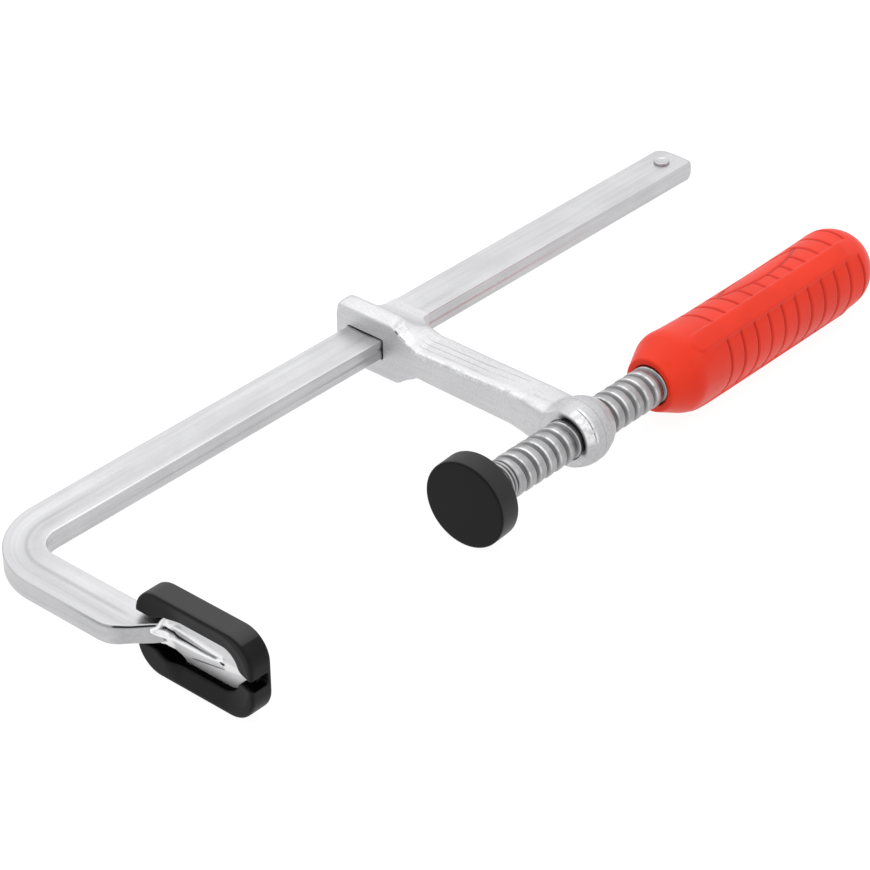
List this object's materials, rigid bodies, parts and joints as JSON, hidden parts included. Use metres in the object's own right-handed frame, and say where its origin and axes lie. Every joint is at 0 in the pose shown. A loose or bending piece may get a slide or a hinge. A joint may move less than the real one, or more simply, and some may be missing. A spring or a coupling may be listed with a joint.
{
  "type": "screw clamp",
  "caption": "Forged steel screw clamp: grooved rail with a bent fixed jaw, a sliding arm, and a threaded spindle with a moulded handle and a swivelling pad.",
  "frame": {"origin": "middle of the fixed jaw's face, on the spindle's axis", "axes": "+X along the rail, away from the fixed jaw's face; +Y from the spindle towards the rail; +Z out of the clamp's plane"},
  "size_m": [0.3321, 0.116, 0.0294],
  "materials": {
    "rail": "bright plated",
    "end_stop_pin": "bright plated",
    "fixed_jaw_cap": "satin moulded",
    "sliding_arm": "forged, bright plated",
    "spindle": "rolled thread, plated",
    "handle": "satin moulded",
    "ball_ring": "spring wire",
    "pressure_plate": "turned, plated",
    "pressure_cap": "satin moulded"
  },
  "bodies": {
    "rail_body": {"rail": "rail", "end_stop_pin": "end_stop_pin", "fixed_jaw_cap": "fixed_jaw_cap"},
    "arm_body": {"sliding_arm": "sliding_arm"},
    "ring_body": {"ball_ring": "ball_ring"},
    "screw_body": {"spindle": "spindle", "handle": "handle"},
    "pad_body": {"pressure_plate": "pressure_plate", "pressure_cap": "pressure_cap"}
  },
  "joints": [
    {"name": "arm_slide", "type": "slide", "parent": "rail_body", "child": "arm_body", "axis": [1, 0, 0], "range_m": [-0.0716, 0.13]},
    {"name": "spindle_feed", "type": "slide", "parent": "arm_body", "child": "ring_body", "axis": [-1, 0, 0], "range_m": [-0.03801, 0.02601]},
    {"name": "spindle_turn", "type": "hinge", "parent": "ring_body", "child": "screw_body", "pos_m": [0.1043, 0, 0], "axis": [-1, 0, 0], "range_deg": [-2850, 1950]},
    {"name": "pad_tilt", "type": "hinge", "parent": "ring_body", "child": "pad_body", "pos_m": [0.1043, 0, 0], "axis": [0, 0, 1], "range_deg": [-9, 1]}
  ],
  "couplings": [
    {"joint": "spindle_feed", "follows": "spindle_turn", "m_per_rad": 0.00076394}
  ]
}
